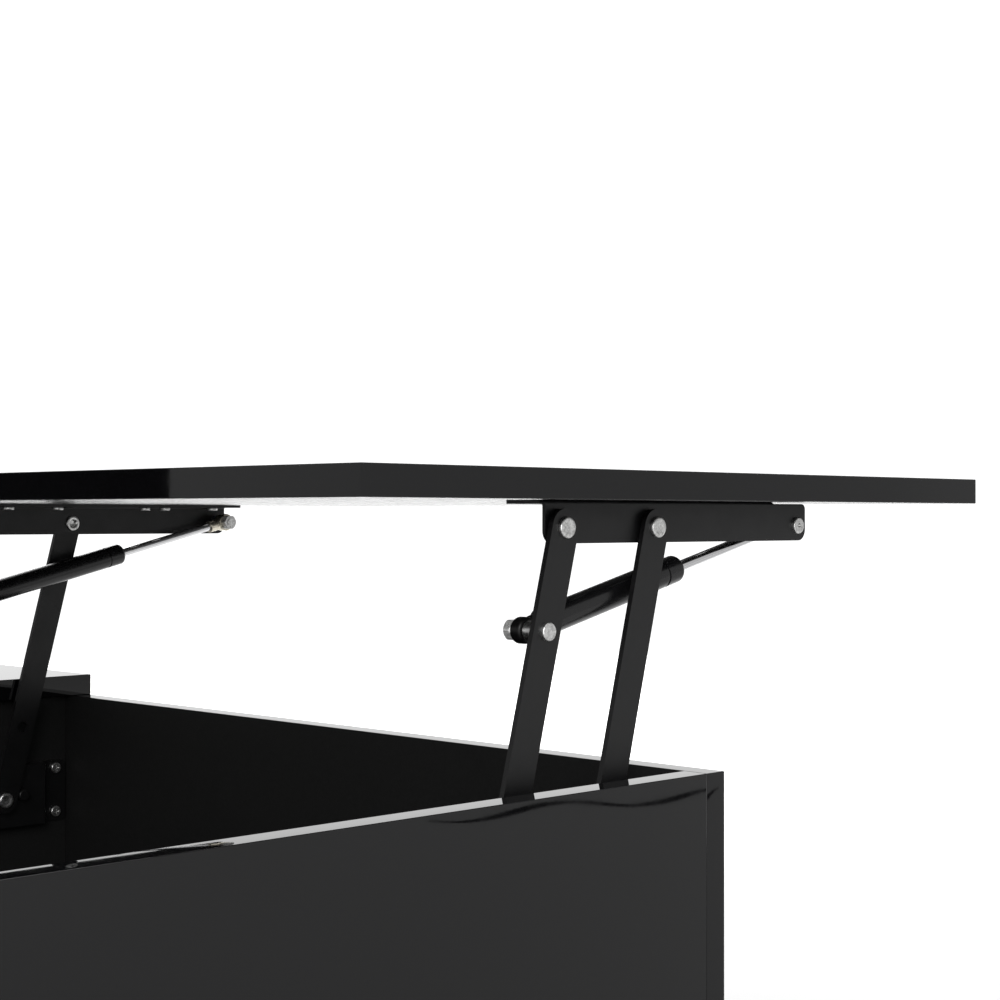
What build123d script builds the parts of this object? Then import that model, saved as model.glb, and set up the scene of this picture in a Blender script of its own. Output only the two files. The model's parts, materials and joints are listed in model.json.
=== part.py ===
from build123d import *
import math
import os

# Lift top coffee table: a storage box whose top rises forward on two four-bar lifts with gas struts.
# Units are millimetres, +Z is up, and the table faces -Y. The origin is on the floor, in the middle of
# the table's footprint. The model stands with its top lifted, and that pose is every joint's zero.

os.makedirs("parts", exist_ok=True)

# ---- driving dimensions: furniture ----
table_width = 900.0
table_depth = 500.0
table_height = 410.0
board = 15.0
glide_height = 8.0
lift_width = 594.0
lid_gap = 3.0
fixed_top_overhang = 10.0
closed_gap = 0.6
fit = 0.05

# ---- driving dimensions: lift mechanism ----
link_length = 205.0
link_spacing = 70.2
link_width = 19.0
open_lean = 14.7
rear_base_pivot_y = -105.5
base_pivot_z = 324.2
pivot_drop = 13.8
stud_from_pivot = 53.2
upper_stud_ahead = 199.9
upper_stud_rise = 0.6
plate_ahead = 207.9
plate_behind = 10.2
plate_height = 21.9
flange_width = 25.0
flange_relief = 30.0
relief_gap = 1.0
plate_corner_r = 3.0
bend_inner_r = 1.0
bend_outer_r = 1.8
flange_behind = 4.0

# ---- layers of the mechanism, as distances from the wall that carries it ----
tab_layer = (0.0, 2.0)
web_layer = (8.5, 10.5)
link_layer = (12.5, 15.5)
plate_layer = (17.2, 19.2)
head_height = 2.0
clenched_height = 1.7
layer_play = 0.1
strut_centre = 29.2
eye_width = 8.0
eye_play = 0.2
stud_end = 39.0

# ---- driving dimensions: round parts ----
rivet_head_r = 5.5
rivet_r = 3.5
rivet_hollow_r = 2.2
stud_head_r = 4.7
stud_r = 4.0
stud_shoulder_r = 5.0
thread_r = 3.0
screw_head_r = 4.0
screw_head_height = 2.2
screw_shank_r = 1.75
base_screw_length = 13.0
flange_screw_length = 14.0
nut_flats = 10.0
nut_height = 5.0
cylinder_r = 7.5
cylinder_wall = 1.0
rod_r = 3.0
eye_r = 6.8
upper_eye_r = 6.5
cylinder_start = 12.0
cylinder_end = 122.7
groove_from_end = 14.0

# ---- derived places ----
x_left = -table_width / 2
x_right = table_width / 2
y_front = -table_depth / 2
y_rear = table_depth / 2
box_top = table_height - board
lid_edge_x = x_left + lift_width
fixed_top_x = lid_edge_x + lid_gap
partition_x = fixed_top_x + fixed_top_overhang
left_wall = x_left + board
mirror_x = (left_wall + partition_x) / 2
inner_front = y_front + board
inner_rear = y_rear - board

lean = math.radians(open_lean)
lid_z = base_pivot_z + link_length * math.cos(lean) + pivot_drop
closed_rise = box_top + closed_gap - pivot_drop - base_pivot_z
closed_lean = math.acos(closed_rise / link_length)
front_base_pivot_y = rear_base_pivot_y - link_spacing
rear_top_pivot_y = rear_base_pivot_y - link_length * math.sin(lean)
front_top_pivot_y = rear_top_pivot_y - link_spacing
top_pivot_z = lid_z - pivot_drop
lid_travel = link_length * (math.sin(lean) + math.sin(closed_lean))
lid_front = y_front - lid_travel

upper_stud = (rear_top_pivot_y - upper_stud_ahead, top_pivot_z + upper_stud_rise)
lower_stud = (
    rear_top_pivot_y + stud_from_pivot * math.sin(lean),
    top_pivot_z - stud_from_pivot * math.cos(lean),
)
strut_length = math.dist(upper_stud, lower_stud)
strut_angle = math.degrees(math.atan2(upper_stud[1] - lower_stud[1], upper_stud[0] - lower_stud[0]))


def strut_when(lean_angle):
    """Length and direction, in degrees, of the strut's line when the links lean forward by lean_angle."""
    ahead = -upper_stud_ahead - stud_from_pivot * math.sin(lean_angle)
    rise = upper_stud_rise + stud_from_pivot * math.cos(lean_angle)
    return math.hypot(ahead, rise), math.degrees(math.atan2(rise, ahead))


# ---- small builders ----
def block(x0, x1, y0, y1, z0, z1):
    """A box between two corners."""
    centre = ((x0 + x1) / 2, (y0 + y1) / 2, (z0 + z1) / 2)
    return Pos(*centre) * Box(x1 - x0, y1 - y0, z1 - z0)


def rod_along(at, direction, radius, start, end):
    """A round bar of that radius about a line through at, from start to end along direction."""
    plane = Plane(origin=Vector(*at) + Vector(*direction) * start, z_dir=Vector(*direction))
    return plane * Cylinder(radius, end - start, align=(Align.CENTER, Align.CENTER, Align.MIN))


def across(y, z, radius, layer):
    """A round bar square to the left wall, between two distances from it."""
    return rod_along((left_wall, y, z), (1, 0, 0), radius, layer[0], layer[1])


def head(y, z, radius, layer, outward):
    """A low domed rivet head that fills a layer, rounded on the side that faces outward (+1 or -1)."""
    disc = across(y, z, radius, layer)
    rim = disc.edges().filter_by(GeomType.CIRCLE).sort_by(Axis.X)
    edge = rim[-1] if outward > 0 else rim[0]
    return fillet(edge, 0.8)


def grow(layer, before, after):
    """A layer made thicker by before on its wall side and after on its inner side."""
    return (layer[0] - before, layer[1] + after)


def stadium(y0, z0, y1, z1, width, layer):
    """A flat bar with round ends between two points of the YZ plane."""
    length = math.dist((y0, z0), (y1, z1))
    angle = math.degrees(math.atan2(z1 - z0, y1 - y0))
    outline = Pos(length / 2, 0) * SlotCenterToCenter(length, width)
    flat = extrude(outline, layer[1] - layer[0])
    plane = Plane(origin=(left_wall + layer[0], y0, z0), x_dir=(0, 1, 0), z_dir=(1, 0, 0))
    return plane * Rot(0, 0, angle) * flat


def on_right(shape):
    """The same piece on the partition: the mirror image of one on the left wall."""
    return mirror(shape, about=Plane.YZ.offset(mirror_x))


def group(shapes, label):
    """Separate solids that share one node."""
    made = Compound(children=[s for shape in shapes for s in shape.solids()])
    made.label = label
    return made


pieces = {}


def keep(name, shape):
    pieces[name] = shape


# ---- furniture fittings: dowels, cam bolts and cam locks ----
dowel_r = 4.0
dowel_in_face = 10.0
dowel_in_edge = 20.0
dowel_room = 1.0
bolt_r = 3.0
bolt_in_face = 10.0
cam_r = 7.5
cam_depth = 12.0
cam_from_edge = 34.0
cam_slot = 7.6
cam_head_r = 3.4
cam_neck_r = 2.2

dowels = []
cam_bolts = []
cam_locks = []
cuts = {}


def cut_from(panel, shape):
    cuts.setdefault(panel, []).append(shape)


def dowel(face_panel, edge_panel, at, along):
    """A wooden dowel across a butt joint; along points from the face panel into the edge panel."""
    dowels.append(rod_along(at, along, dowel_r, -dowel_in_face, dowel_in_edge))
    cut_from(face_panel, rod_along(at, along, dowel_r + fit, -dowel_in_face - dowel_room, dowel_room))
    cut_from(edge_panel, rod_along(at, along, dowel_r + fit, -dowel_room, dowel_in_edge + dowel_room))


def cam(face_panel, edge_panel, at, along, opening):
    """A cam bolt screwed into the face panel and its cam lock let into the edge panel's open side."""
    neck_start = cam_from_edge - 8.0
    head_start = cam_from_edge - 4.0
    head_end = cam_from_edge + 1.0
    bolt = rod_along(at, along, bolt_r, -bolt_in_face, neck_start)
    bolt += rod_along(at, along, cam_neck_r, neck_start, head_start)
    bolt += rod_along(at, along, cam_head_r, head_start, head_end)
    cam_bolts.append(bolt)

    centre = Vector(*at) + Vector(*along) * cam_from_edge
    open_face = board / 2
    lock = rod_along(centre, opening, cam_r - fit, open_face - cam_depth, open_face - 0.2)
    slot_plane = Plane(origin=centre, x_dir=Vector(*along), z_dir=Vector(*opening))
    slot = Pos(-cam_r / 2, 0, 0) * Box(cam_r + 6.0, cam_slot, cam_slot)
    lock -= slot_plane * slot
    drive = Box(1.6, 9.0, 2.4) + Box(9.0, 1.6, 2.4)
    lock -= slot_plane * Pos(0, 0, open_face) * drive
    cam_locks.append(lock)

    cut_from(face_panel, rod_along(at, along, bolt_r + fit, -bolt_in_face - dowel_room, dowel_room))
    cut_from(edge_panel, rod_along(at, along, dowel_r, -dowel_room, cam_from_edge))
    cut_from(edge_panel, rod_along(centre, opening, cam_r, open_face - cam_depth - 0.4, open_face + 1.0))


upright_dowel_z = (60.0, 215.0, 368.0)
upright_cam_z = (110.0, 275.0)
mid_left = x_left + board / 2
mid_right = x_right - board / 2
mid_partition = partition_x + board / 2
uprights = [
    ("front_panel", "left_side_panel", mid_left, inner_front, 1, 1),
    ("rear_panel", "left_side_panel", mid_left, inner_rear, -1, 1),
    ("front_panel", "partition_panel", mid_partition, inner_front, 1, 1),
    ("rear_panel", "partition_panel", mid_partition, inner_rear, -1, 1),
    ("rear_panel", "right_side_panel", mid_right, inner_rear, -1, -1),
]
for face_panel, edge_panel, x, y, into, opens in uprights:
    for z in upright_dowel_z:
        dowel(face_panel, edge_panel, (x, y, z), (0, into, 0))
    for z in upright_cam_z:
        cam(face_panel, edge_panel, (x, y, z), (0, into, 0), (opens, 0, 0))

bottom_z0 = glide_height
bottom_z1 = glide_height + board
bottom_mid = bottom_z0 + board / 2
for face_panel, x, into in (("left_side_panel", left_wall, 1), ("right_side_panel", x_right - board, -1)):
    for y in (-180.0, 0.0, 180.0):
        dowel(face_panel, "bottom_panel", (x, y, bottom_mid), (into, 0, 0))
    for y in (-90.0, 90.0):
        cam(face_panel, "bottom_panel", (x, y, bottom_mid), (into, 0, 0), (0, 0, -1))
for x in (-330.0, -140.0, 60.0):
    dowel("front_panel", "bottom_panel", (x, inner_front, bottom_mid), (0, 1, 0))
for x in (-330.0, -140.0, 60.0, 300.0):
    dowel("rear_panel", "bottom_panel", (x, inner_rear, bottom_mid), (0, -1, 0))
for y in (-170.0, 0.0, 170.0):
    dowel("bottom_panel", "partition_panel", (mid_partition, y, bottom_z1), (0, 0, 1))
for y in (-150.0, 150.0):
    dowel("fixed_top_panel", "partition_panel", (mid_partition, y, box_top), (0, 0, -1))
    dowel("fixed_top_panel", "right_side_panel", (mid_right, y, box_top), (0, 0, -1))
for y in (-60.0, 60.0):
    cam("fixed_top_panel", "partition_panel", (mid_partition, y, box_top), (0, 0, -1), (1, 0, 0))
    cam("fixed_top_panel", "right_side_panel", (mid_right, y, box_top), (0, 0, -1), (-1, 0, 0))
for x in (250.0, 350.0):
    dowel("fixed_top_panel", "rear_panel", (x, y_rear - board / 2, box_top), (0, 0, -1))

# ---- shelf in the open bay, on four pins ----
shelf_z = 202.0
pin_r = 2.5
pin_head_r = 4.0
pin_depth = 9.0
pin_reach = 8.0
pin_rows = (-190.0, 190.0)
shelf_pins = []
bay_walls = [
    (partition_x + board, "partition_panel", 1),
    (x_right - board, "right_side_panel", -1),
]
for wall_x, wall, into in bay_walls:
    for y in pin_rows:
        at = (wall_x, y, shelf_z - pin_head_r)
        pin = rod_along(at, (into, 0, 0), pin_r, -pin_depth, 0.0)
        pin += rod_along(at, (into, 0, 0), pin_head_r, 0.0, pin_reach)
        shelf_pins.append(pin)
        cut_from(wall, rod_along(at, (into, 0, 0), pin_r + fit, -pin_depth - dowel_room, dowel_room))

# ---- floor glides: a plastic button with a spigot pressed up into the panel's lower edge ----
spigot_r = 4.0
spigot_length = 10.0
glide_places = [
    (0.0, 0.0, "bottom_panel"),
    (x_left + 45.0, y_front + board / 2, "front_panel"),
    (x_left + 45.0, y_rear - board / 2, "rear_panel"),
    (mid_partition - 30.0, y_front + board / 2, "front_panel"),
    (mid_partition - 30.0, y_rear - board / 2, "rear_panel"),
    (mid_right, y_front + 45.0, "right_side_panel"),
    (x_right - 45.0, y_rear - board / 2, "rear_panel"),
]
glide_r = board / 2 - 0.5
spigot_end = glide_height + spigot_length
up = (0, 0, 1)
glides = []
for x, y, panel in glide_places:
    glide = rod_along((x, y, 0), up, glide_r, 0.0, glide_height)
    glide = fillet(glide.edges().filter_by(GeomType.CIRCLE).sort_by(Axis.Z)[0], 2.0)
    glide += rod_along((x, y, 0), up, spigot_r, glide_height, spigot_end)
    glides.append(glide)
    cut_from(panel, rod_along((x, y, 0), up, spigot_r + fit, glide_height - 1.0, spigot_end + 1.0))

# ---- base bracket: a hat section screwed to the wall ----
bracket_z0 = 303.5
bracket_z1 = 347.5
bracket_screw_z = (310.0, 342.0)
bracket_bend_y = -216.0
bracket_tab = 17.0
bracket_mid_y = (rear_base_pivot_y + front_base_pivot_y) / 2
bracket_half = bracket_mid_y - bracket_bend_y
bracket_slope = 6.0
bracket_screw_y = [bracket_mid_y + s * (bracket_half + bracket_tab / 2) for s in (-1, 1)]
stop_pin_r = 4.0
stop_pin_ahead = link_width / 2 + stop_pin_r + 0.3
stop_pin_up = 6.0
stop_pin_y = front_base_pivot_y - stop_pin_ahead * math.cos(lean) - stop_pin_up * math.sin(lean)
stop_pin_z = base_pivot_z + stop_pin_up * math.cos(lean) - stop_pin_ahead * math.sin(lean)
base_pivots = [(rear_base_pivot_y, base_pivot_z), (front_base_pivot_y, base_pivot_z)]
top_pivots = [(rear_top_pivot_y, top_pivot_z), (front_top_pivot_y, top_pivot_z)]


def base_bracket():
    """The hat section that carries the two lower pivots, with two screw tabs."""
    sheet = tab_layer[1] - tab_layer[0]
    rise = web_layer[0] - tab_layer[0]
    outline = []
    for s in (-1, 1):
        outline.append((bracket_mid_y + s * (bracket_half + bracket_tab), tab_layer[0]))
        outline.append((bracket_mid_y + s * bracket_half, tab_layer[0]))
        outline.append((bracket_mid_y + s * (bracket_half - bracket_slope), tab_layer[0] + rise))
    path_points = [outline[0], outline[1], outline[2], outline[5], outline[4], outline[3]]
    section = Plane.XY * offset_band(path_points, sheet)
    solid = extrude(section, bracket_z1 - bracket_z0)
    place = Plane(origin=(left_wall, 0, bracket_z0), x_dir=(0, 1, 0), z_dir=(0, 0, 1))
    solid = place * mirror(solid, about=Plane.XZ)
    solid = fillet(solid.edges().filter_by(Axis.X), 3.0)
    for y, z in base_pivots:
        solid -= across(y, z, rivet_r + fit, grow(web_layer, 5, 5))
    solid -= across(stop_pin_y, stop_pin_z, rivet_r - 1 + fit, grow(web_layer, 5, 5))
    for y in bracket_screw_y:
        for z in bracket_screw_z:
            solid -= across(y, z, 2.2, (-1.0, 5.0))
    return solid


def offset_band(points, thickness):
    """A band of that thickness that runs along a line of points, on its left side."""
    line = Polyline(*points)
    return make_face([*line.edges(), *close_band(points, thickness)])


def close_band(points, thickness):
    """The edges that close a band: its far side, parallel to the line of points, and its two ends."""
    shifted = []
    for i, (a, b) in enumerate(points):
        before = direction(points[max(i - 1, 0)], points[max(i, 1)])
        after = direction(points[min(i, len(points) - 2)], points[min(i + 1, len(points) - 1)])
        normal = (-(before[1] + after[1]) / 2, (before[0] + after[0]) / 2)
        scale = thickness / (normal[0] ** 2 + normal[1] ** 2)
        shifted.append((a + normal[0] * scale, b + normal[1] * scale))
    far = Polyline(*shifted)
    return [*far.edges(), Line(points[0], shifted[0]), Line(points[-1], shifted[-1])]


def direction(a, b):
    length = math.dist(a, b)
    return ((b[0] - a[0]) / length, (b[1] - a[1]) / length)


def screw(at, along, length):
    """A pan head screw; at is under its head and along points into the wood."""
    made = rod_along(at, along, screw_shank_r, 0.0, length)
    crown = rod_along(at, along, screw_head_r, -screw_head_height, 0.0)
    crown = fillet(crown.edges().filter_by(GeomType.CIRCLE), 0.7)
    plane = Plane(origin=Vector(*at), z_dir=Vector(*along))
    crown -= plane * Pos(0, 0, -2.0) * (Box(4.0, 0.9, 1.6) + Box(0.9, 4.0, 1.6))
    return made + crown


def base_rivet(y, z):
    """The lower pivot: a rivet through the bracket's web, its washer and the link."""
    made = across(y, z, rivet_r, (web_layer[0] - head_height / 2, link_layer[1] + layer_play + 1.0))
    made += head(y, z, rivet_head_r, (web_layer[0] - head_height, web_layer[0]), -1)
    inner = link_layer[1] + layer_play
    return made + head(y, z, rivet_head_r, (inner, inner + head_height), 1)


def top_rivet(y, z):
    """The upper pivot: a rivet through the link, its washer and the top bracket's plate."""
    outer = link_layer[0] - layer_play
    made = across(y, z, rivet_r, (outer - head_height / 2, plate_layer[1] + clenched_height / 2))
    made += head(y, z, rivet_head_r, (outer - head_height, outer), -1)
    made += head(y, z, rivet_head_r, (plate_layer[1], plate_layer[1] + clenched_height), 1)
    return made - across(y, z, rivet_hollow_r, (plate_layer[1], plate_layer[1] + head_height + 1))


def washer(y, z, layer):
    """A nylon washer on a pivot rivet."""
    return across(y, z, rivet_head_r, layer) - across(y, z, rivet_r + fit, grow(layer, 1, 1))


def stop_pin():
    """The stud that the front link comes to rest against when the top is up."""
    made = across(stop_pin_y, stop_pin_z, rivet_r - 1, (web_layer[0] - 1.0, web_layer[1] + 1.0))
    made += across(stop_pin_y, stop_pin_z, rivet_r, (web_layer[0] - 1.5, web_layer[0]))
    return made + head(stop_pin_y, stop_pin_z, stop_pin_r, (web_layer[1], link_layer[1] + 1.0), 1)


def link(base, top, hole_from_base):
    """A flat bar with a pivot hole at each end and one strut stud hole."""
    bar = stadium(*base, *top, link_width, link_layer)
    share = hole_from_base / link_length
    hole = (base[0] + (top[0] - base[0]) * share, base[1] + (top[1] - base[1]) * share)
    for y, z in (base, top):
        bar -= across(y, z, rivet_r + fit, grow(link_layer, 1, 1))
    return bar - across(*hole, stud_r + fit, grow(link_layer, 1, 1))


def top_bracket(relief):
    """The angle under the lifting top: a plate with the upper pivots and a flange screwed to the board."""
    y0 = rear_top_pivot_y - plate_ahead
    y1 = rear_top_pivot_y + plate_behind
    z0 = lid_z - plate_height
    x0 = left_wall + plate_layer[0]
    x1 = left_wall + plate_layer[1]
    sheet = plate_layer[1] - plate_layer[0]
    plate = block(x0, x1, y0, y1, z0, lid_z)
    lower = plate.edges().filter_by(Axis.X).group_by(Axis.Z)[0]
    plate = fillet(lower, 6.5)
    if relief:
        plate -= block(x0 - 1, x1 + 1, y0 - 1, y0 + relief, lid_z - relief_gap, lid_z + 1)
        corner = [e for e in plate.edges().filter_by(Axis.X) if e.center().Z > lid_z - 2 * relief_gap]
        plate = fillet(min(corner, key=lambda e: e.center().Y), plate_corner_r)
    flange = block(x0, x0 + flange_width, y0 + relief, y1 + flange_behind, lid_z - sheet, lid_z)
    tips = flange.edges().filter_by(Axis.Z).group_by(Axis.X)[-1]
    flange = fillet(tips, plate_corner_r)
    made = plate + flange
    bends = [e for e in made.edges().filter_by(Axis.Y) if abs(e.center().X - x1) < 0.01]
    inner = [e for e in bends if abs(e.center().Z - (lid_z - sheet)) < 0.01]
    made = fillet(inner, bend_inner_r)
    outer = [
        e for e in made.edges().filter_by(Axis.Y)
        if abs(e.center().X - x0) < 0.01 and abs(e.center().Z - lid_z) < 0.01
    ]
    made = fillet(outer, bend_outer_r)
    for y, z in top_pivots:
        made -= across(y, z, rivet_r + fit, grow(plate_layer, 2, 2))
    made -= across(*upper_stud, stud_r + fit, grow(plate_layer, 2, 2))
    for y in flange_screw_y:
        made -= rod_along((flange_screw_x, y, lid_z), (0, 0, -1), flange_hole_r, -1.0, 4.0)
    return made


flange_screw_x = left_wall + plate_layer[1] + 12.0
flange_screw_y = (-345.0, -301.0, -283.0, -208.0, -168.0)
flange_hole_r = 2.2


def lower_stud_piece():
    """The shouldered stud on the rear link that carries the strut's lower eye."""
    made = head(*lower_stud, stud_head_r, (link_layer[0] - head_height, link_layer[0]), -1)
    made += across(*lower_stud, stud_r, (link_layer[0] - 1.0, strut_centre + eye_width / 2 + 0.2))
    made += across(*lower_stud, stud_shoulder_r, (link_layer[1], strut_centre - eye_width / 2 - 0.2))
    return made + across(*lower_stud, thread_r, (strut_centre, stud_end))


def hex_nut(y, z, layer):
    """A hexagon nut on a stud's thread."""
    outline = RegularPolygon(nut_flats / 2, 6, major_radius=False)
    flat = extrude(outline, layer[1] - layer[0])
    plane = Plane(origin=(left_wall + layer[0], y, z), x_dir=(0, 1, 0), z_dir=(1, 0, 0))
    nut = plane * flat
    bevel = plane * Cylinder(nut_flats / 2 * 1.1, nut_height, align=(Align.CENTER, Align.CENTER, Align.MIN))
    bevel = chamfer(bevel.edges().filter_by(GeomType.CIRCLE), 0.5)
    nut = nut & bevel
    return nut - across(y, z, thread_r + fit, grow(layer, 1, 1))


def upper_stud_piece():
    """The outer part of the upper strut stud, riveted through the plate's front end."""
    made = head(*upper_stud, stud_head_r, (plate_layer[0] - head_height, plate_layer[0]), -1)
    made += across(*upper_stud, stud_r, (plate_layer[0] - 1.0, plate_layer[1] + 1.0))
    made += across(*upper_stud, stud_shoulder_r, (plate_layer[1], strut_centre - eye_width / 2 - 0.4))
    return made - across(*upper_stud, 1.3, (plate_layer[0] - head_height - 1, plate_layer[0] - 0.8))


def upper_pin_piece():
    """The inner part of the upper strut stud, which carries the rod's eye."""
    made = across(*upper_stud, stud_r, (strut_centre - eye_width / 2, strut_centre + eye_width / 2 + 0.2))
    return made + across(*upper_stud, thread_r, (strut_centre, stud_end))


# ---- gas strut, along a line from the lower stud (0) to the upper stud (strut_length) ----
strut_direction = (0, math.cos(math.radians(strut_angle)), math.sin(math.radians(strut_angle)))
strut_origin = (left_wall + strut_centre, lower_stud[0], lower_stud[1])
closed_length, closed_angle = strut_when(-closed_lean)
strut_stroke = strut_length - closed_length
piston_at = 100.0
piston_length = 6.0
guide_length = 9.0
rod_end = strut_length - upper_eye_r
connector_length = 15.0
connector_r = 4.5
neck_r = 5.8
neck_clear = 6.0


def on_strut(radius, start, end):
    return rod_along(strut_origin, strut_direction, radius, start, end)


def strut_cylinder():
    """The steel tube of the strut, with a crimped groove and a rounded, rolled-in end."""
    tube = on_strut(cylinder_r, cylinder_start, cylinder_end)
    rims = tube.edges().filter_by(GeomType.CIRCLE).sort_by(Axis.Y)
    tube = fillet(rims[0], 3.0)
    rims = tube.edges().filter_by(GeomType.CIRCLE).sort_by(Axis.Y)
    tube = fillet(rims[-1], 1.5)
    tube -= on_strut(cylinder_r - cylinder_wall, cylinder_start + 3.0, cylinder_end - 1.2)
    tube -= on_strut(rod_r + 0.6, cylinder_end - 5.0, cylinder_end + 1.0)
    groove_at = cylinder_end - groove_from_end
    ring = on_strut(cylinder_r + 1.0, groove_at - 0.9, groove_at + 0.9)
    ring -= on_strut(cylinder_r - 0.45, groove_at - 2.0, groove_at + 2.0)
    tube -= ring
    return tube + on_strut(thread_r, neck_clear + 1.0, cylinder_start + 1.0)


def strut_guide():
    """The rod guide and seal inside the cylinder's open end."""
    made = on_strut(cylinder_r - cylinder_wall - fit, cylinder_end - 1.2 - guide_length, cylinder_end - 1.3)
    return made - on_strut(rod_r + fit, cylinder_end - 20.0, cylinder_end + 1.0)


def strut_piston():
    made = on_strut(cylinder_r - cylinder_wall - fit, piston_at, piston_at + piston_length)
    return made - on_strut(rod_r - 1.0 + fit, piston_at - 1.0, piston_at + piston_length + 1.0)


def strut_rod():
    made = on_strut(rod_r - 1.0, piston_at - 2.0, piston_at + piston_length)
    made += on_strut(rod_r, piston_at + piston_length, rod_end - 3.0)
    return made + on_strut(rod_r - 0.5, rod_end - 4.0, strut_length - stud_r - 1.5)


def lower_eye():
    """The plastic eye screwed on the cylinder's closed end."""
    ring = across(*lower_stud, eye_r, (strut_centre - eye_width / 2, strut_centre + eye_width / 2))
    ring = fillet(ring.edges().filter_by(GeomType.CIRCLE), 2.4)
    neck = on_strut(neck_r, neck_clear, cylinder_start)
    neck = fillet(neck.edges().filter_by(GeomType.CIRCLE).sort_by(Axis.Y)[-1], 1.2)
    made = ring + neck
    made -= across(*lower_stud, stud_r + fit, (strut_centre - eye_width, strut_centre + eye_width))
    return made - on_strut(thread_r + fit, neck_clear + 0.5, cylinder_start + 1.0)


def upper_eye():
    """The metal eye screwed on the rod's end."""
    ring = across(*upper_stud, upper_eye_r, (strut_centre - eye_width / 2, strut_centre + eye_width / 2))
    ring = fillet(ring.edges().filter_by(GeomType.CIRCLE), 1.0)
    neck = on_strut(connector_r, strut_length - connector_length, strut_length - neck_clear)
    neck = fillet(neck.edges().filter_by(GeomType.CIRCLE), 0.8)
    made = ring + neck
    made -= across(*upper_stud, stud_r + fit, (strut_centre - eye_width, strut_centre + eye_width))
    made -= on_strut(rod_r + fit, strut_length - connector_length - 1.0, rod_end - 2.9)
    return made - on_strut(rod_r - 0.5 + fit, rod_end - 4.0, strut_length - stud_r - 1.0)


# ---- panels ----
shelf_play = 1.0
shelf_x0 = partition_x + board + shelf_play
shelf_x1 = x_right - board - shelf_play
panels = {
    "left_side_panel": block(x_left, left_wall, inner_front, inner_rear, glide_height, box_top),
    "right_side_panel": block(x_right - board, x_right, y_front, inner_rear, glide_height, box_top),
    "front_panel": block(x_left, partition_x + board, y_front, inner_front, glide_height, box_top),
    "rear_panel": block(x_left, x_right, inner_rear, y_rear, glide_height, box_top),
    "bottom_panel": block(left_wall, x_right - board, inner_front, inner_rear, bottom_z0, bottom_z1),
    "partition_panel": block(partition_x, partition_x + board, inner_front, inner_rear, bottom_z1, box_top),
    "fixed_top_panel": block(fixed_top_x, x_right, y_front, y_rear, box_top, table_height),
    "bay_shelf": block(shelf_x0, shelf_x1, inner_front, inner_rear - shelf_play, shelf_z, shelf_z + board),
    "lifting_top_panel": block(x_left, lid_edge_x, lid_front, lid_front + table_depth, lid_z, lid_z + board),
}

# ---- screws of the mechanism ----
base_screws = []
for y in bracket_screw_y:
    for z in bracket_screw_z:
        at = (left_wall + tab_layer[1], y, z)
        base_screws.append(screw(at, (-1, 0, 0), base_screw_length))
        pilot = rod_along(at, (-1, 0, 0), screw_shank_r + fit, 1.0, base_screw_length + 1.0)
        cut_from("left_side_panel", pilot)
        cut_from("partition_panel", on_right(pilot))

flange_screws = []
for y in flange_screw_y:
    at = (flange_screw_x, y, lid_z - (plate_layer[1] - plate_layer[0]))
    flange_screws.append(screw(at, (0, 0, 1), flange_screw_length))
    pilot = rod_along(at, (0, 0, 1), screw_shank_r + fit, 1.0, flange_screw_length + 1.0)
    cut_from("lifting_top_panel", on_right(pilot))
    if y > rear_top_pivot_y - plate_ahead + flange_relief:
        cut_from("lifting_top_panel", pilot)

for name, panel in panels.items():
    for tool in cuts.get(name, []):
        panel -= tool
    keep(name, panel)

keep("wood_dowels", group(dowels, "wood_dowels"))
keep("cam_bolts", group(cam_bolts, "cam_bolts"))
keep("cam_locks", group(cam_locks, "cam_locks"))
keep("shelf_pins", group(shelf_pins, "shelf_pins"))
keep("floor_glides", group(glides, "floor_glides"))

eye_layer_end = strut_centre + eye_width / 2
nut_layer = (eye_layer_end + eye_play, eye_layer_end + eye_play + nut_height)
spacer_at_base = (web_layer[1], link_layer[0] - layer_play)
spacer_at_top = (link_layer[1] + layer_play, plate_layer[0])
rear_base, front_base = base_pivots
rear_top, front_top = top_pivots

left_pieces = {
    "base_bracket": base_bracket(),
    "base_bracket_screws": group(base_screws, "screws"),
    "base_pivot_rivets": group([base_rivet(*p) for p in base_pivots], "rivets"),
    "base_pivot_washers": group([washer(*p, spacer_at_base) for p in base_pivots], "washers"),
    "stop_pin": stop_pin(),
    "rear_link": link(rear_base, rear_top, link_length - stud_from_pivot),
    "front_link": link(front_base, front_top, stud_from_pivot),
    "lower_strut_stud": lower_stud_piece(),
    "lower_stud_nut": hex_nut(*lower_stud, nut_layer),
    "top_pivot_rivets": group([top_rivet(*p) for p in top_pivots], "rivets"),
    "top_pivot_washers": group([washer(*p, spacer_at_top) for p in top_pivots], "washers"),
    "upper_strut_stud": upper_stud_piece(),
    "strut_cylinder": strut_cylinder(),
    "strut_lower_eye": lower_eye(),
    "strut_rod_guide": strut_guide(),
    "strut_rod": strut_rod(),
    "strut_piston": strut_piston(),
    "strut_upper_eye": upper_eye(),
    "upper_stud_pin": upper_pin_piece(),
    "upper_stud_nut": hex_nut(*upper_stud, nut_layer),
}
for name, piece in left_pieces.items():
    keep("left_" + name, piece)
    keep("right_" + name, on_right(piece))
keep("left_top_bracket", top_bracket(flange_relief))
keep("right_top_bracket", on_right(top_bracket(0.0)))
keep("left_top_bracket_screws", group(flange_screws[1:], "screws"))
keep("right_top_bracket_screws", on_right(group(flange_screws, "screws")))

for name, piece in pieces.items():
    export_step(piece, "parts/" + name + ".step")

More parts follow.
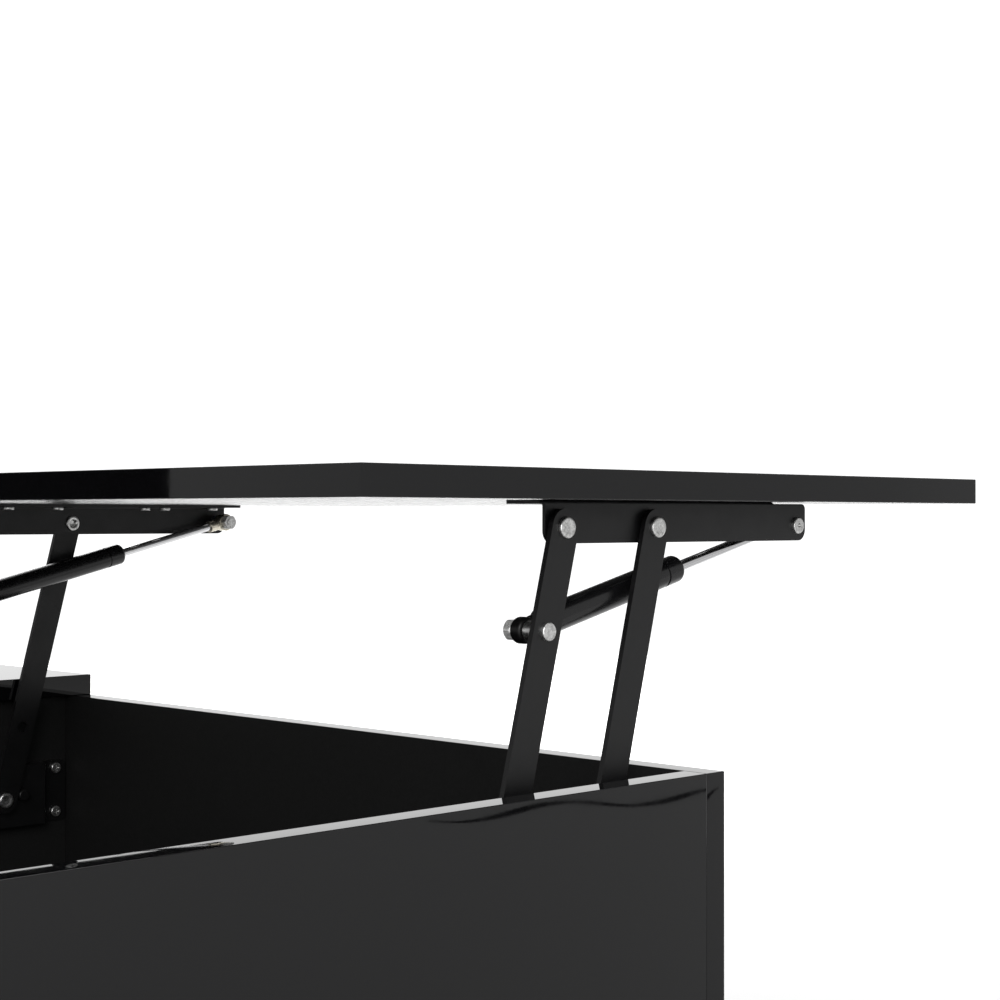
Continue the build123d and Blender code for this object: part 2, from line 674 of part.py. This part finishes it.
turn = math.degrees(closed_lean + lean)
print("nodes", len(pieces))
print("lid z", round(lid_z, 3), "travel", round(lid_travel, 3), "turn to close", round(turn, 4))
print("pivots rear base", round(rear_base_pivot_y, 3), "front base", round(front_base_pivot_y, 3))
print("top pivots", round(rear_top_pivot_y, 4), round(front_top_pivot_y, 4), "z", round(top_pivot_z, 4))
print("lower stud", lower_stud, "upper stud", upper_stud)
print("strut", round(strut_length, 4), "to", round(closed_length, 4), "stroke", round(strut_stroke, 4))
print("strut angle", round(strut_angle, 4), "closed", round(closed_angle, 4))
print("partition x", partition_x, "mirror x", mirror_x)
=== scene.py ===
"""Looks for the lift top coffee table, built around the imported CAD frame. Units are metres."""

import json
import math

import bmesh
import bpy
from mathutils import Matrix, Vector


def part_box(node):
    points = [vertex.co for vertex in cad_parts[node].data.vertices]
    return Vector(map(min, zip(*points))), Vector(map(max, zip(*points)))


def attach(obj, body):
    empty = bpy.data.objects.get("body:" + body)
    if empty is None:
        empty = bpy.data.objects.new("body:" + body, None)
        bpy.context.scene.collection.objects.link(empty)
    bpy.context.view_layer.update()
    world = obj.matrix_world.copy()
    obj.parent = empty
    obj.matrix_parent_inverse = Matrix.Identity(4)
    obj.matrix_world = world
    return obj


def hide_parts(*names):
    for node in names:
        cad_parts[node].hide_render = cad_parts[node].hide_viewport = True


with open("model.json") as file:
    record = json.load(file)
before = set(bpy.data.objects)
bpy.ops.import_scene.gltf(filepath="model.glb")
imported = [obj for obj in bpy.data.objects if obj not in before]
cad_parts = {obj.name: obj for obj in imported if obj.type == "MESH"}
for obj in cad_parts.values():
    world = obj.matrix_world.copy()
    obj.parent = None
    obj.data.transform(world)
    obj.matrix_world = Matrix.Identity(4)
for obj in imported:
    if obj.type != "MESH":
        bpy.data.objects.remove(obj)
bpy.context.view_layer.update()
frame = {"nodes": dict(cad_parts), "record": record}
nodes = frame["nodes"]
scene = bpy.context.scene
MM = 0.001


# ---------------------------------------------------------------- materials
def new_material(name):
    """A material with an empty Principled shader; returns the material, its tree and the shader."""
    material = bpy.data.materials.new(name)
    material.use_nodes = True
    tree = material.node_tree
    return material, tree, tree.nodes["Principled BSDF"]


def add_node(tree, kind, **values):
    node = tree.nodes.new(kind)
    for key, value in values.items():
        if hasattr(node, key):
            setattr(node, key, value)
        else:
            node.inputs[key].default_value = value
    return node


def noise(tree, scale, detail=2.0, roughness=0.5, stretch=(1, 1, 1)):
    """Noise in object space, so it keeps its real scale on every piece."""
    where = add_node(tree, "ShaderNodeTexCoord")
    mapping = add_node(tree, "ShaderNodeMapping")
    mapping.inputs["Scale"].default_value = stretch
    texture = add_node(tree, "ShaderNodeTexNoise", Scale=scale, Detail=detail, Roughness=roughness)
    tree.links.new(where.outputs["Object"], mapping.inputs["Vector"])
    tree.links.new(mapping.outputs["Vector"], texture.inputs["Vector"])
    return texture.outputs["Fac"]


def ramp(tree, value, low, high, at_low, at_high):
    """Maps a number's range low to high onto at_low to at_high."""
    node = add_node(tree, "ShaderNodeMapRange")
    node.inputs["From Min"].default_value = low
    node.inputs["From Max"].default_value = high
    node.inputs["To Min"].default_value = at_low
    node.inputs["To Max"].default_value = at_high
    tree.links.new(value, node.inputs["Value"])
    return node.outputs["Result"]


def colour_mix(tree, value, colour_a, colour_b):
    """Mixes two colours; a Mix node's colour sockets share their names, so they go by index."""
    node = add_node(tree, "ShaderNodeMix", data_type="RGBA")
    node.inputs[6].default_value = (*colour_a, 1)
    node.inputs[7].default_value = (*colour_b, 1)
    tree.links.new(value, node.inputs["Factor"])
    return node.outputs[2]


def bump(tree, height, distance, strength, after=None):
    node = add_node(tree, "ShaderNodeBump", Strength=strength, Distance=distance)
    tree.links.new(height, node.inputs["Height"])
    if after is not None:
        tree.links.new(after, node.inputs["Normal"])
    return node.outputs["Normal"]


def gloss_board(name, ior):
    """High gloss black lacquer: a deep clear film with orange peel and long soft waves."""
    material, tree, shader = new_material(name)
    shader.inputs["IOR"].default_value = ior
    dark, light = (0.0016, 0.0016, 0.0020), (0.0026, 0.0026, 0.0030)
    tint = colour_mix(tree, noise(tree, 9.0, 3.0), dark, light)
    tree.links.new(tint, shader.inputs["Base Color"])
    rough = ramp(tree, noise(tree, 60.0, 4.0), 0.3, 0.7, 0.015, 0.035)
    tree.links.new(rough, shader.inputs["Roughness"])
    waves = bump(tree, noise(tree, 8.0, 0.0), 0.0002, 0.5)
    ripple = bump(tree, noise(tree, 40.0, 0.0), 0.00001, 0.5, after=waves)
    peel = bump(tree, noise(tree, 420.0, 1.0), 0.0000015, 0.4, after=ripple)
    tree.links.new(peel, shader.inputs["Normal"])
    return material


def matte_board():
    """The inside of the box: matte black melamine paper with a fine pore texture."""
    material, tree, shader = new_material("matte_black_melamine")
    tint = colour_mix(tree, noise(tree, 700.0, 4.0), (0.005, 0.005, 0.005), (0.015, 0.015, 0.015))
    tree.links.new(tint, shader.inputs["Base Color"])
    shader.inputs["Roughness"].default_value = 0.55
    shader.inputs["Specular IOR Level"].default_value = 0.3
    pores = bump(tree, noise(tree, 900.0, 5.0, 0.6), 0.00008, 0.5)
    tree.links.new(pores, shader.inputs["Normal"])
    return material


def sealed_board():
    """The underside of the lifting top: a thin, smooth sealing coat with a faint grain."""
    material, tree, shader = new_material("sealed_black_underside")
    tint = colour_mix(tree, noise(tree, 200.0, 4.0), (0.004, 0.004, 0.004), (0.008, 0.008, 0.008))
    tree.links.new(tint, shader.inputs["Base Color"])
    rough = ramp(tree, noise(tree, 90.0, 4.0), 0.3, 0.7, 0.22, 0.32)
    tree.links.new(rough, shader.inputs["Roughness"])
    grain = bump(tree, noise(tree, 500.0, 3.0), 0.00001, 0.4)
    tree.links.new(grain, shader.inputs["Normal"])
    return material


def powder_coat():
    """Satin black powder coat over sheet steel, with its fine even grain."""
    material, tree, shader = new_material("satin_black_powder_coat")
    dark, light = (0.0040, 0.0040, 0.0043), (0.0062, 0.0062, 0.0066)
    tint = colour_mix(tree, noise(tree, 500.0, 3.0), dark, light)
    tree.links.new(tint, shader.inputs["Base Color"])
    rough = ramp(tree, noise(tree, 80.0, 3.0), 0.3, 0.7, 0.34, 0.44)
    tree.links.new(rough, shader.inputs["Roughness"])
    shader.inputs["Specular IOR Level"].default_value = 0.41
    grain = bump(tree, noise(tree, 1500.0, 3.0), 0.00003, 0.4)
    tree.links.new(grain, shader.inputs["Normal"])
    return material


def strut_paint():
    """The gas strut's black paint, smoother than the powder coat."""
    material, tree, shader = new_material("strut_black_paint")
    tint = colour_mix(tree, noise(tree, 300.0, 2.0), (0.004, 0.004, 0.0045), (0.007, 0.007, 0.0075))
    tree.links.new(tint, shader.inputs["Base Color"])
    rough = ramp(tree, noise(tree, 120.0, 3.0), 0.3, 0.7, 0.18, 0.26)
    tree.links.new(rough, shader.inputs["Roughness"])
    grain = bump(tree, noise(tree, 900.0, 3.0), 0.00002, 0.3)
    tree.links.new(grain, shader.inputs["Normal"])
    return material


def plated(name, dark, light, low, high, fine=1200.0, depth=0.00006, metallic=1.0):
    """Zinc or chrome plate: bright metal with small changes of tone and finish; depth in metres."""
    material, tree, shader = new_material(name)
    shader.inputs["Metallic"].default_value = metallic
    speckle = ramp(tree, noise(tree, 800.0, 3.0, 0.6), 0.36, 0.64, 0.0, 1.0)
    tint = colour_mix(tree, speckle, dark, light)
    tree.links.new(tint, shader.inputs["Base Color"])
    rough = ramp(tree, noise(tree, 400.0, 4.0), 0.3, 0.7, low, high)
    tree.links.new(rough, shader.inputs["Roughness"])
    if depth:
        grain = bump(tree, noise(tree, fine, 4.0, 0.6), depth, 0.5)
        tree.links.new(grain, shader.inputs["Normal"])
    return material


def nylon():
    """Moulded black nylon."""
    material, tree, shader = new_material("black_nylon")
    tint = colour_mix(tree, noise(tree, 400.0, 3.0), (0.003, 0.003, 0.003), (0.006, 0.006, 0.006))
    tree.links.new(tint, shader.inputs["Base Color"])
    shader.inputs["Specular IOR Level"].default_value = 0.25
    rough = ramp(tree, noise(tree, 150.0, 3.0), 0.3, 0.7, 0.30, 0.40)
    tree.links.new(rough, shader.inputs["Roughness"])
    grain = bump(tree, noise(tree, 1100.0, 3.0), 0.00005, 0.6)
    tree.links.new(grain, shader.inputs["Normal"])
    return material


def beech():
    """Bare beech, for the dowels."""
    material, tree, shader = new_material("bare_beech")
    grain = noise(tree, 90.0, 5.0, 0.6, stretch=(1, 1, 6))
    tint = colour_mix(tree, grain, (0.42, 0.27, 0.15), (0.66, 0.48, 0.31))
    tree.links.new(tint, shader.inputs["Base Color"])
    shader.inputs["Roughness"].default_value = 0.7
    tree.links.new(bump(tree, grain, 0.0002, 0.4), shader.inputs["Normal"])
    return material


GLOSS = gloss_board("gloss_black_lacquer", 1.46)
EDGE_BAND = gloss_board("gloss_black_edge_band", 1.42)
MATTE = matte_board()
SEALED = sealed_board()
COAT = powder_coat()
STRUT = strut_paint()
ZINC = plated("bright_zinc", (0.56, 0.56, 0.55), (0.95, 0.95, 0.94), 0.26, 0.40, fine=1600.0)
NUT_ZINC = plated("nut_zinc", (0.62, 0.62, 0.61), (0.88, 0.88, 0.87), 0.24, 0.38,
                  depth=0.00003, metallic=0.5)
YELLOW_ZINC = plated("yellow_zinc", (0.60, 0.55, 0.44), (0.86, 0.82, 0.70), 0.22, 0.36)
CHROME = plated("hard_chrome", (0.78, 0.78, 0.79), (0.84, 0.84, 0.85), 0.10, 0.14, depth=0.0)
NYLON = nylon()
BEECH = beech()
BY_SLOT = {
    "gloss_black_board": GLOSS,
    "black_steel": COAT,
    "strut_black": STRUT,
    "zinc_steel": ZINC,
    "yellow_zinc": YELLOW_ZINC,
    "chrome_rod": CHROME,
    "black_plastic": NYLON,
    "dowel_beech": BEECH,
}


# ---------------------------------------------------------------- CAD nodes
SHARP_ANGLE = math.radians(30)
SMOOTH = math.cos(SHARP_ANGLE)  # cosine of the turn across an edge, above which it shades smooth
SQUARE = 0.5                    # and below which it is square enough to be rounded
WELD_GRID = 0.01 * MM
ARRIS = 0.5 * MM
SHORTEST_ARRIS = 5 * MM
FACE_WEIGHT = 90


def soften(obj, width, shortest):
    """A small rounded arris on the long, square edges, so that they catch the light.

    The CAD mesh comes as separate faces, so edges are matched by where they lie and welded first.
    """
    mesh = obj.data
    place = [tuple(round(c / WELD_GRID) for c in vertex.co) for vertex in mesh.vertices]
    sides = {}
    for polygon in mesh.polygons:
        for i, j in polygon.edge_keys:
            sides.setdefault(frozenset((place[i], place[j])), []).append(polygon.normal)
    weight = mesh.attributes.new("bevel_weight_edge", "FLOAT", "EDGE")
    for edge in mesh.edges:
        i, j = edge.vertices
        normals = sides.get(frozenset((place[i], place[j])), [])
        turn = normals[0].dot(normals[1]) if len(normals) == 2 else 1.0
        length = (mesh.vertices[i].co - mesh.vertices[j].co).length
        rounded = turn < SQUARE and length > shortest
        weight.data[edge.index].value = 1.0 if rounded else 0.0
        edge.use_edge_sharp = turn < SMOOTH and not rounded
    weld = obj.modifiers.new("weld", "WELD")
    weld.merge_threshold = WELD_GRID
    bevel = obj.modifiers.new("arris", "BEVEL")
    bevel.width = width
    bevel.segments = 3
    bevel.limit_method = "WEIGHT"
    flat = obj.modifiers.new("flat_faces", "WEIGHTED_NORMAL")
    flat.mode = "FACE_AREA"
    flat.weight = FACE_WEIGHT
    flat.keep_sharp = True


slot_of = {row["node"]: row["material_slot"] for row in frame["record"]["subparts"]}
for name, obj in nodes.items():
    obj.data.materials.clear()
    obj.data.materials.append(NUT_ZINC if name.endswith("_nut") else BY_SLOT[slot_of[name]])
    for polygon in obj.data.polygons:
        polygon.use_smooth = True
    obj.data.set_sharp_from_angle(angle=SHARP_ANGLE)

# each panel is gloss outside and matte on the sides that face the storage box or the bay
MATTE_FACES = {
    "left_side_panel": [(1, 0, 0)],
    "right_side_panel": [(-1, 0, 0)],
    "front_panel": [(0, 1, 0)],
    "rear_panel": [(0, -1, 0)],
    "bottom_panel": [(0, 0, 1), (0, 0, -1)],
    "partition_panel": [(-1, 0, 0), (1, 0, 0)],
    "bay_shelf": [(0, 0, 1), (0, 0, -1)],
    "fixed_top_panel": [(0, 0, -1)],
    "lifting_top_panel": [(0, 0, -1)],
}
INSIDE, BAND = 1, 2   # material slots of a panel, after the lacquer at 0
FACING = 0.9          # cosine, above which a face counts as facing that way
for name, normals in MATTE_FACES.items():
    obj = nodes[name]
    obj.data.materials.append(SEALED if name == "lifting_top_panel" else MATTE)
    for polygon in obj.data.polygons:
        if any(polygon.normal.dot(Vector(n)) > FACING for n in normals):
            polygon.material_index = INSIDE
    soften(obj, ARRIS, SHORTEST_ARRIS)

# the front panel's ends are edge banded, a shade darker than the faces
nodes["front_panel"].data.materials.append(EDGE_BAND)
for polygon in nodes["front_panel"].data.polygons:
    if abs(polygon.normal.x) > FACING:
        polygon.material_index = BAND


# ---------------------------------------------------------------- turned pieces of the mechanism
LATHE_SEGMENTS = 72
LATHE_SHARP_ANGLE = math.radians(35)


def lathe(name, profile, centre, inward, material):
    """A turned piece; profile is (distance along X from centre, radius) in mm.

    inward is +1 or -1, the way along X that the profile runs.
    """
    mesh = bmesh.new()
    rings = []
    for along, radius in profile:
        ring = []
        for i in range(LATHE_SEGMENTS):
            angle = 2 * math.pi * i / LATHE_SEGMENTS
            offset = Vector((inward * along, radius * math.cos(angle), radius * math.sin(angle)))
            ring.append(mesh.verts.new(Vector(centre) + offset * MM))
        rings.append(ring)
    for near, far in zip(rings, rings[1:]):
        for i in range(LATHE_SEGMENTS):
            j = (i + 1) % LATHE_SEGMENTS
            mesh.faces.new((near[i], near[j], far[j], far[i]))
    mesh.faces.new(list(reversed(rings[0])))
    mesh.faces.new(rings[-1])
    bmesh.ops.recalc_face_normals(mesh, faces=mesh.faces)
    data = bpy.data.meshes.new(name)
    mesh.to_mesh(data)
    mesh.free()
    for polygon in data.polygons:
        polygon.use_smooth = True
    data.set_sharp_from_angle(angle=LATHE_SHARP_ANGLE)
    data.materials.append(material)
    obj = bpy.data.objects.new(name, data)
    scene.collection.objects.link(obj)
    return obj


# rivet sizes in mm
RIVET_R = 5.5
SHANK_R = 3.5
HEAD = 2.0        # thickness of a spun head
DISH = 0.30       # depth of the dish in its middle
CLENCH = 1.7      # thickness of the hollow end once it is rolled over
HOLLOW_R = 2.2
HOLLOW_DEPTH = 2.9
CENTRE_R = 0.02   # a lathe profile stops this far short of its axis


def spun_head(face, under, radius):
    """A spun-over rivet head: from the middle of its dish, over the rim, back to its underside."""
    out = math.copysign(1.0, face - under)
    steps = [
        (-DISH, CENTRE_R), (-DISH, 0.40 * radius), (-0.6 * DISH, 0.52 * radius),
        (-0.15 * DISH, 0.62 * radius), (0.0, 0.70 * radius), (-0.04, 0.84 * radius),
        (-0.22, 0.93 * radius), (-0.55, 0.985 * radius), (-0.95, radius),
    ]
    points = [(face + out * back, r) for back, r in steps]
    points.append((under, radius))
    return points


def turned(node, body, centres, profile, material):
    """One turned piece for each centre; together they stand for the CAD node."""
    inward = 1 if node.startswith("left") else -1
    for i, centre in enumerate(centres):
        obj = lathe(f"{node}_{i + 1}", profile, centre, inward, material)
        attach(obj, body)
        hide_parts(node)


def centres_of(node, radius):
    """The middles of two round heads in a row along Y, on the outer face of the node's box."""
    low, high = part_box(node)
    x = low[0] if node.startswith("left") else high[0]
    z = (low[2] + high[2]) / 2
    return [(x, high[1] - radius * MM, z), (x, low[1] + radius * MM, z)]


def length_of(node):
    low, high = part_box(node)
    return (high[0] - low[0]) / MM


for side in ("left", "right"):
    # lower pivots: the wall side's head starts the profile, the inner head ends it
    node = side + "_base_pivot_rivets"
    whole = length_of(node)
    profile = spun_head(0.0, HEAD, RIVET_R)
    profile += [(HEAD, SHANK_R), (whole - HEAD, SHANK_R)]
    profile += reversed(spun_head(whole, whole - HEAD, RIVET_R))
    turned(node, "base", centres_of(node, RIVET_R), profile, ZINC)

    # upper pivots: solid head outside, hollow clenched end inside the plate
    node = side + "_top_pivot_rivets"
    whole = length_of(node)
    profile = spun_head(0.0, HEAD, RIVET_R)
    profile += [(HEAD, SHANK_R), (whole - CLENCH, SHANK_R), (whole - CLENCH, RIVET_R)]
    rolled = [(0.8, RIVET_R - 0.05), (0.25, RIVET_R - 0.45), (0.0, RIVET_R - 1.2)]
    rolled += [(0.1, RIVET_R - 2.2), (0.6, 2.6), (1.2, HOLLOW_R), (2.6, HOLLOW_R - 0.1)]
    rolled += [(HOLLOW_DEPTH, 1.2), (HOLLOW_DEPTH, CENTRE_R)]
    profile += [(whole - back, radius) for back, radius in rolled]
    turned(node, "lifting_top", centres_of(node, RIVET_R), profile, ZINC)


# ---------------------------------------------------------------- stage
STAGE_ROUGHNESS = 0.9
STAGE_SPECULAR = 0.1


def stage_material(name, colour):
    material, tree, shader = new_material(name)
    tint = colour_mix(tree, noise(tree, 3.0), colour, tuple(c * 0.98 for c in colour))
    tree.links.new(tint, shader.inputs["Base Color"])
    shader.inputs["Roughness"].default_value = STAGE_ROUGHNESS
    shader.inputs["Specular IOR Level"].default_value = STAGE_SPECULAR
    return material


def stage_plane(name, size, location, rotation, material):
    """A flat stage piece: the floor, or a card that only shows in reflections."""
    bpy.ops.mesh.primitive_plane_add(size=1, location=location, rotation=rotation)
    plane = bpy.context.object
    plane.name = name
    plane.scale = (size[0], size[1], 1)
    plane.data.materials.append(material)
    return plane


def reflection_only(card):
    """Hides a stage card from everything but glossy reflections."""
    card.visible_camera = False
    card.visible_diffuse = False
    card.visible_shadow = False
    card.visible_transmission = False


WHITE = (0.86, 0.86, 0.86)
BLACK = (0.01, 0.01, 0.01)
stage_plane("floor", (10, 10), (0, 0, 0), (0, 0, 0), stage_material("pale_floor", WHITE))
UPRIGHT = math.radians(90)
DARK_CARD = stage_material("dark_card", BLACK)

# a dark upright card, which shows in the rear edge of the lifting top
reflection_only(stage_plane("flag", (1.5, 1.4), (3.0, 1.58, 0.7), (UPRIGHT, 0, UPRIGHT),
                            DARK_CARD))

# a narrow dark strip on the studio floor, which shows in the gloss of the side panel
STRIP_START = Vector((-2.235, -1.70, 0.004))
STRIP_END = Vector((-2.08, -2.32, 0.004))
STRIP_SWAY = 0.06
STRIP_WAVES = 1.75
STRIP_PHASE = 0.13
STRIP_HALF_WIDTH = 0.018
STRIP_STEPS = 60


def strip_point(t):
    """Where the strip's middle lies, from its start at t = 0 to its end at t = 1."""
    sway = -STRIP_SWAY * math.cos(2 * math.pi * STRIP_WAVES * (t - STRIP_PHASE))
    return STRIP_START.lerp(STRIP_END, t) + Vector((-1, -1, 0)).normalized() * sway


def floor_strip():
    """A narrow ribbon just above the floor that sways from side to side and tapers at both ends."""
    corners = []
    for i in range(STRIP_STEPS + 1):
        t = i / STRIP_STEPS
        along = (strip_point(t + 0.01) - strip_point(t - 0.01)).normalized()
        half = STRIP_HALF_WIDTH * max(math.sin(math.pi * t), 0.1) ** 0.4
        across = Vector((-along.y, along.x, 0)) * half
        corners += [strip_point(t) + across, strip_point(t) - across]
    faces = [(2 * i, 2 * i + 1, 2 * i + 3, 2 * i + 2) for i in range(STRIP_STEPS)]
    data = bpy.data.meshes.new("floor_strip")
    data.from_pydata(corners, [], faces)
    data.materials.append(DARK_CARD)
    strip = bpy.data.objects.new("floor_strip", data)
    scene.collection.objects.link(strip)
    return strip


reflection_only(floor_strip())


def graded_card(near, far):
    """Floor card left of the table, darkest beside it, which the glossy side panel reflects."""
    material, tree, shader = new_material("graded_card")
    where = add_node(tree, "ShaderNodeTexCoord")
    split = add_node(tree, "ShaderNodeSeparateXYZ")
    tree.links.new(where.outputs["Generated"], split.inputs["Vector"])
    across = ramp(tree, split.outputs["X"], 0.24, 0.78, 0.0, 1.0)
    tree.links.new(colour_mix(tree, across, far, near), shader.inputs["Base Color"])
    shader.inputs["Roughness"].default_value = STAGE_ROUGHNESS
    shader.inputs["Specular IOR Level"].default_value = STAGE_SPECULAR
    return material


NEAR_GREY = (0.54, 0.54, 0.54)
reflection_only(stage_plane("side_card", (3.04, 6.0), (-1.98, -1.0, 0.002), (0, 0, 0),
                            graded_card(NEAR_GREY, WHITE)))


def studio_world(levels, facing):
    """White walls all round; levels pairs a direction's cosine with facing and its brightness."""
    world = bpy.data.worlds.new("studio")
    world.use_nodes = True
    tree = world.node_tree
    where = add_node(tree, "ShaderNodeTexCoord")
    dot = add_node(tree, "ShaderNodeVectorMath", operation="DOT_PRODUCT")
    dot.inputs[1].default_value = facing
    tree.links.new(where.outputs["Generated"], dot.inputs[0])
    brightest = max(level for _, level in levels)
    shades = add_node(tree, "ShaderNodeValToRGB")
    stops = shades.color_ramp.elements
    while len(stops) < len(levels):
        stops.new(1.0)
    for stop, (towards, level) in zip(stops, levels):
        stop.position = (towards + 1) / 2
        stop.color = (level / brightest,) * 3 + (1,)
    tree.links.new(ramp(tree, dot.outputs["Value"], -1.0, 1.0, 0.0, 1.0), shades.inputs["Fac"])
    background = tree.nodes["Background"]
    background.inputs["Strength"].default_value = brightest
    tree.links.new(shades.outputs["Color"], background.inputs["Color"])
    scene.world = world


BACKGROUND = Vector((1, -1, 0)).normalized()
studio_world([(-1.0, 0.62), (-0.10, 0.58), (0.20, 0.44), (0.40, 0.50), (0.80, 1.20)], BACKGROUND)


def softbox(name, size, location, target, power):
    light = bpy.data.lights.new(name, "AREA")
    light.shape = "RECTANGLE"
    light.size, light.size_y = size
    light.energy = power
    obj = bpy.data.objects.new(name, light)
    obj.location = location
    obj.rotation_euler = (Vector(target) - Vector(location)).to_track_quat("-Z", "Y").to_euler()
    obj.visible_camera = False
    scene.collection.objects.link(obj)


softbox("overhead", (2.4, 2.4), (-0.3, -0.3, 3.0), (-0.2, -0.2, 0.4), 14)
softbox("camera_side", (1.6, 1.6), (-2.4, 2.0, 1.7), (-0.4, -0.1, 0.45), 46)
softbox("low_front", (0.5, 0.5), (-1.7, 1.5, 0.05), (-0.45, -0.2, 0.4), 4)
softbox("backdrop_light", (5.0, 3.0), (2.6, -3.2, 2.4), (3.2, -3.8, 0.0), 300)

# ---------------------------------------------------------------- camera
CAMERA_AT = (-1.0693, 0.5372, 0.5280)
CAMERA_YAW = -45.053
CAMERA_PITCH = 0.495
CAMERA_ROLL = 0.085
CAMERA_LENS = 68.35
SENSOR_WIDTH = 36.0
camera_data = bpy.data.cameras.new("camera")
camera_data.lens = CAMERA_LENS
camera_data.sensor_width = SENSOR_WIDTH
camera = bpy.data.objects.new("camera", camera_data)
aim = Matrix.Rotation(math.radians(CAMERA_YAW - 90.0), 4, "Z")
tilt = Matrix.Rotation(math.radians(90.0 + CAMERA_PITCH), 4, "X")
roll = Matrix.Rotation(math.radians(CAMERA_ROLL), 4, "Z")
camera.matrix_world = Matrix.Translation(CAMERA_AT) @ aim @ tilt @ roll
scene.collection.objects.link(camera)
scene.camera = camera
scene.view_settings.view_transform = "Standard"
scene.view_settings.look = "None"
